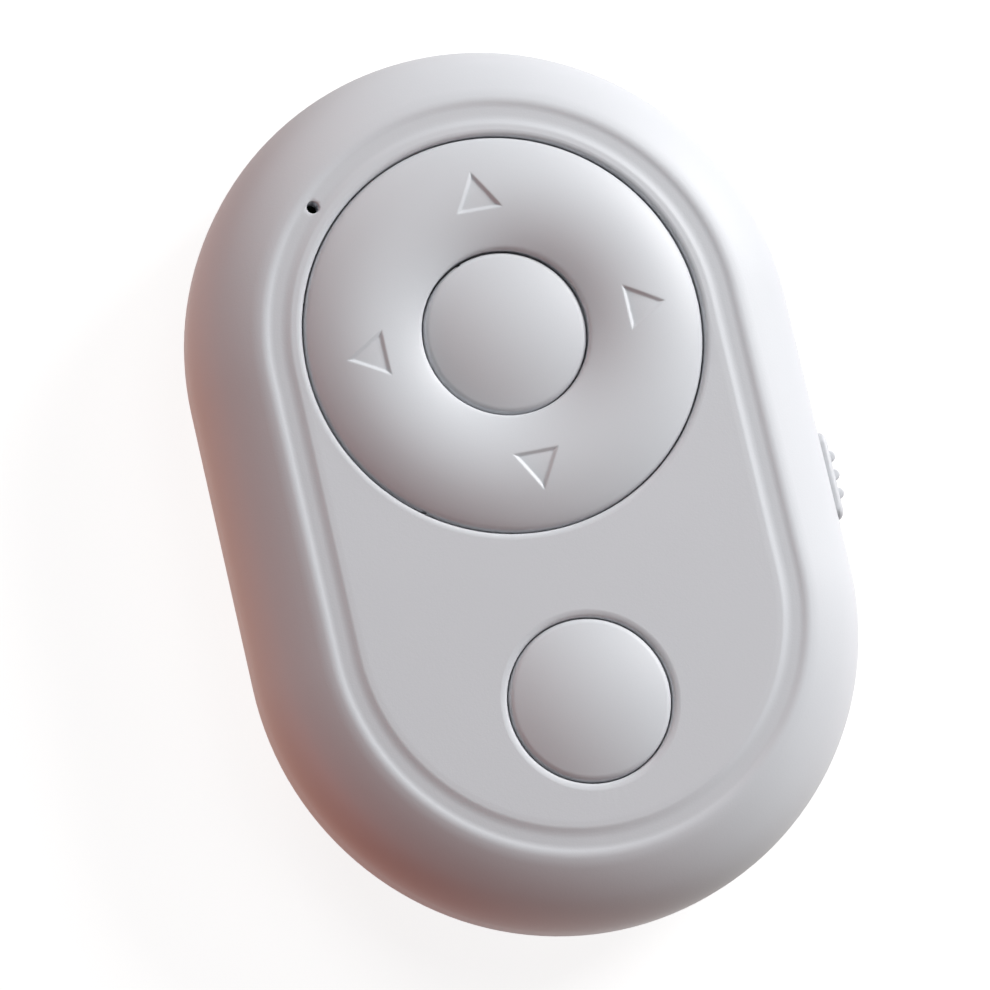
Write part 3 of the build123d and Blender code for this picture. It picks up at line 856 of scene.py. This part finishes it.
# Small metal parts. The cell's can and cap and the covers of the switch and the crystal are drawn from
# nickel-plated sheet with fine lines, the cell's contacts are bright spring steel, the screws plated steel.
def sheet_metal(colour, roughness, lines):
    """Plated sheet, lightly brushed: lines is how many strokes there are in a metre."""

    def paint(place):
        strokes = place.scaled(1.0, 0.05, 1.0).noise(lines, detail=1.0)
        clouds = place.noise(250.0)
        return {
            "Base Color": clouds.mix(tuple(part * 0.94 for part in colour), colour),
            "Metallic": 1.0,
            "Roughness": roughness + strokes * 0.12 + clouds * 0.05,
            "Normal": strokes.relief(0.15, 0.000004),
        }

    return paint


nickel_sheet = finish("nickel_sheet", sheet_metal((0.72, 0.70, 0.66), 0.22, 5000.0))
spring_steel = finish("spring_steel", sheet_metal((0.66, 0.66, 0.67), 0.16, 7000.0))
screw_steel = finish("screw_steel", sheet_metal((0.60, 0.61, 0.63), 0.3, 9000.0))
wear(nickel_sheet, "cell_can", "cell_cap", "switch_can", "crystal_can")
wear(spring_steel, "positive_contact", "negative_contact")
wear(screw_steel, "board_screws")

# Snap domes. Six dished discs of the same spring steel, cropped square so that each stands on four feet. One
# goes flat as its key is pressed.
dome_height = 0.37
dome_sheet = 0.1
dome_flat = 0.5                 # the flat middle, as a share of the radius
dome_crop = 0.8                 # the distance of the cropped sides from the middle, as such a share
key_dome_radius = 3.0
pad_dome_radius = 2.5


def snap_dome(key, radius, x, y):
    """A snap dome under a key, cropped square and set on the board at x, y."""
    top = board_top + dome_height
    section = [
        (0.0, top),
        (radius * dome_flat, top),
        (radius, board_top + dome_sheet),
        (radius, board_top),
        (radius - dome_sheet, board_top),
        (radius * dome_flat - dome_sheet, top - dome_sheet),
        (0.0, top - dome_sheet),
    ]
    dome = solid(f"snap_{key}", swept(section, circle(x, y, steps=48)))
    low, high = board_top - past, top + past
    inner, outer = dome_crop * radius * sqrt(2), 2 * radius
    crop_rings = [
        [(x + reach * cos(turn * pi / 2), y + reach * sin(turn * pi / 2), z) for turn in range(4)]
        for reach, z in ((inner, low), (outer, low), (outer, high), (inner, high))
    ]
    cut(dome, skin(crop_rings))
    dress(dome, "housing", spring_steel, "spring_steel", f"dome_{key}")
    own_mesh(dome)


snap_dome("centre", key_dome_radius, 0.0, end_centre)
snap_dome("shutter", key_dome_radius, 0.0, shutter_y)
snap_dome("up", pad_dome_radius, 0.0, end_centre + nub_circle)
snap_dome("down", pad_dome_radius, 0.0, end_centre - nub_circle)
snap_dome("left", pad_dome_radius, -nub_circle, end_centre)
snap_dome("right", pad_dome_radius, nub_circle, end_centre)


# Small parts of plastic and ceramic. The switch's base and lever and the radio's package are black moulded
# plastic, the cell's seal and filling never show, the light is clear resin, the capacitors are tan ceramic.
def matt(colour, roughness, grain=4000.0):
    """A dull moulded or pressed material with a fine speckle."""
    dark, light = [tuple(part * level for part in colour) for level in (0.85, 1.12)]

    def paint(place):
        speckle = place.noise(grain, detail=3.0)
        return {
            "Base Color": speckle.mix(dark, light),
            "Roughness": speckle * 0.1 + roughness,
            "Normal": speckle.relief(0.25, 0.000008),
        }

    return paint


wear(finish("black_plastic", matt((0.022, 0.022, 0.024), 0.42)), "switch_base", "switch_lever", "radio_chip")
wear(finish("seal_plastic", matt((0.10, 0.10, 0.11), 0.5)), "cell_seal")
wear(finish("cell_filling", matt((0.05, 0.05, 0.055), 0.8)), "cell_core")
wear(finish("led_resin", matt((0.78, 0.77, 0.68), 0.2, 1500.0)), "status_led")
wear(finish("ceramic", matt((0.42, 0.33, 0.23), 0.45)), "chip_capacitors")

# Camera. It looks down on the remote from over its lower left with a long lens, as in the photograph, and is
# turned so that the remote leans left.
camera_place = Vector((-0.0780, -0.0579, 0.3500))
camera_right = Vector((0.9590, -0.2233, 0.1747)).normalized()
camera_back = Vector((-0.2132, -0.1620, 0.9635)).normalized()
camera_up = camera_back.cross(camera_right).normalized()
camera_right = camera_up.cross(camera_back)
camera_turn = Matrix((camera_right, camera_up, camera_back)).transposed().to_4x4()
camera = bpy.data.objects.new("camera", bpy.data.cameras.new("camera"))
camera.data.lens = 200.0
camera.data.sensor_width = 36.0
camera.data.clip_start = 0.01
camera.matrix_world = Matrix.Translation(camera_place) @ camera_turn
bpy.context.scene.collection.objects.link(camera)
bpy.context.scene.camera = camera
bpy.context.scene.view_settings.view_transform = "Standard"

# Floor. A pale table that shows white to the camera and in reflections, but throws only a little light back
# up: warm beside the remote's left side, paler past its lower end, and plain under its back. It keeps a faint
# shadow, and from below nothing of it shows, so that the back can be seen.
table_reach = 1.5
table_drop = 0.02               # a hair below the back, which would flicker against it
under_light = (0.7, 0.7, 0.7)
under_fade = (13.0, 14.5)       # the distances from the body's middle line over which it ends
far_light = (0.03, 0.02, 0.02)
end_light = (0.51, 0.43, 0.38)
end_fade = (14.0, 30.0)         # over which it comes in, down and to the right
side_light_low = (0.38, 0.18, 0.12)
side_light = (0.68, 0.38, 0.22)
side_light_high = (0.46, 0.14, 0.07)
side_fade = (8.0, 30.0)         # over which the side's light comes in, to the left
side_low_fade = (-35.0, -10.0)  # along the side, from its low colour to its middle one
side_high_fade = (12.0, 35.0)   # and on to its high one
dim_grey = (0.12, 0.12, 0.12, 1)
pale_grey = (0.3, 0.3, 0.3, 1)
white = (1, 1, 1, 1)
white_glow = 0.7
camera_glow = 0.16              # added to it for the camera


def ray_kinds(start):
    """Whether a ray comes from the camera, and whether it is one that should find the background white."""
    camera_ray, glossy_ray, clear_ray = [
        start.node("ShaderNodeLightPath", {}, {}, name)
        for name in ("Is Camera Ray", "Is Glossy Ray", "Is Transmission Ray")
    ]
    return camera_ray, camera_ray.maths("MAXIMUM", glossy_ray.maths("MAXIMUM", clear_ray))


table_mesh = bmesh.new()
bmesh.ops.create_grid(table_mesh, x_segments=8, y_segments=8, size=table_reach)
table_data = bpy.data.meshes.new("table")
table_mesh.to_mesh(table_data)
table_mesh.free()
table = bpy.data.objects.new("table", table_data)
bpy.context.scene.collection.objects.link(table)
table.location.z = -table_drop * MM
table_finish = bpy.data.materials.new("table")
table_finish.use_nodes = True
tree = table_finish.node_tree
tree.nodes.remove(tree.nodes["Principled BSDF"])
start = Wire(tree)
camera_ray, seen = ray_kinds(start)
spot = start.node("ShaderNodeTexCoord", {}, {}, "Object")
below_end = (spot.along("X") * 0.6 - spot.along("Y") * 0.8).over(end_fade)
beside = (spot.along("X") * -1.0).over(side_fade)
outside = squared_reach(spot).between((under_fade[0] * MM) ** 2, (under_fade[1] * MM) ** 2)
side_glow = spot.along("Y").over(side_low_fade).mix(side_light_low, side_light)
side_glow = spot.along("Y").over(side_high_fade).mix(side_glow, side_light_high)
bounce = beside.mix(below_end.mix(far_light, end_light), side_glow)
bounce = outside.mix(under_light, bounce)
warmth = start.node("ShaderNodeEmission", {}, {"Color": bounce, "Strength": 1.0})
dim = start.node("ShaderNodeBsdfDiffuse", {}, {"Color": dim_grey})
thrown = start.node("ShaderNodeAddShader", {}, {0: warmth, 1: dim})
brightness = camera_ray * camera_glow + white_glow
glow = start.node("ShaderNodeEmission", {}, {"Color": white, "Strength": brightness})
pale = start.node("ShaderNodeBsdfDiffuse", {}, {"Color": pale_grey})
shown = start.node("ShaderNodeAddShader", {}, {0: glow, 1: pale})
above = start.node("ShaderNodeMixShader", {}, {0: seen, 1: thrown, 2: shown})
from_below = start.node("ShaderNodeNewGeometry", {}, {}, "Backfacing")
gone = start.node("ShaderNodeBsdfTransparent", {}, {})
whole = start.node("ShaderNodeMixShader", {}, {0: from_below, 1: above, 2: gone})
tree.links.new(whole.socket, tree.nodes["Material Output"].inputs["Surface"])
table.data.materials.append(table_finish)

# Light. A soft key lamp low on the right, weaker ones from above, from the lower right and from the far end,
# a faint reddish one low on the left, and dim daylight all round that looks white to the camera.
ambient = 0.04
lamp_distance = 0.7
daylight = bpy.data.worlds.new("daylight")
daylight.use_nodes = True
sky = daylight.node_tree
camera_ray, seen = ray_kinds(Wire(sky))
sky.links.new((seen * (1.0 - ambient) + ambient).socket, sky.nodes["Background"].inputs["Strength"])
sky.nodes["Background"].inputs["Color"].default_value = white
bpy.context.scene.world = daylight


def lamp(name, azimuth, elevation, size, brightness, colour=(1.0, 1.0, 1.0)):
    """A square soft lamp that faces the remote; brightness is what it gives a white surface turned to it."""
    light = bpy.data.lights.new(name, "AREA")
    light.size = size
    light.energy = brightness * pi**2 * lamp_distance**2
    light.color = colour
    holder = bpy.data.objects.new(name, light)
    turn, rise = radians(azimuth), radians(elevation)
    away = Vector((cos(rise) * cos(turn), cos(rise) * sin(turn), sin(rise)))
    holder.location = away * lamp_distance
    holder.rotation_euler = away.to_track_quat("Z", "Y").to_euler()
    bpy.context.scene.collection.objects.link(holder)


lamp("key_lamp", azimuth=26.0, elevation=24.0, size=0.3, brightness=1.16)
lamp("top_lamp", azimuth=53.0, elevation=63.0, size=0.35, brightness=0.17)
lamp("side_lamp", azimuth=-34.0, elevation=13.0, size=0.25, brightness=0.15)
lamp("far_lamp", azimuth=108.0, elevation=34.0, size=0.3, brightness=0.25)
lamp("warm_lamp", azimuth=200.0, elevation=6.0, size=0.3, brightness=0.24, colour=(1.0, 0.13, 0.07))
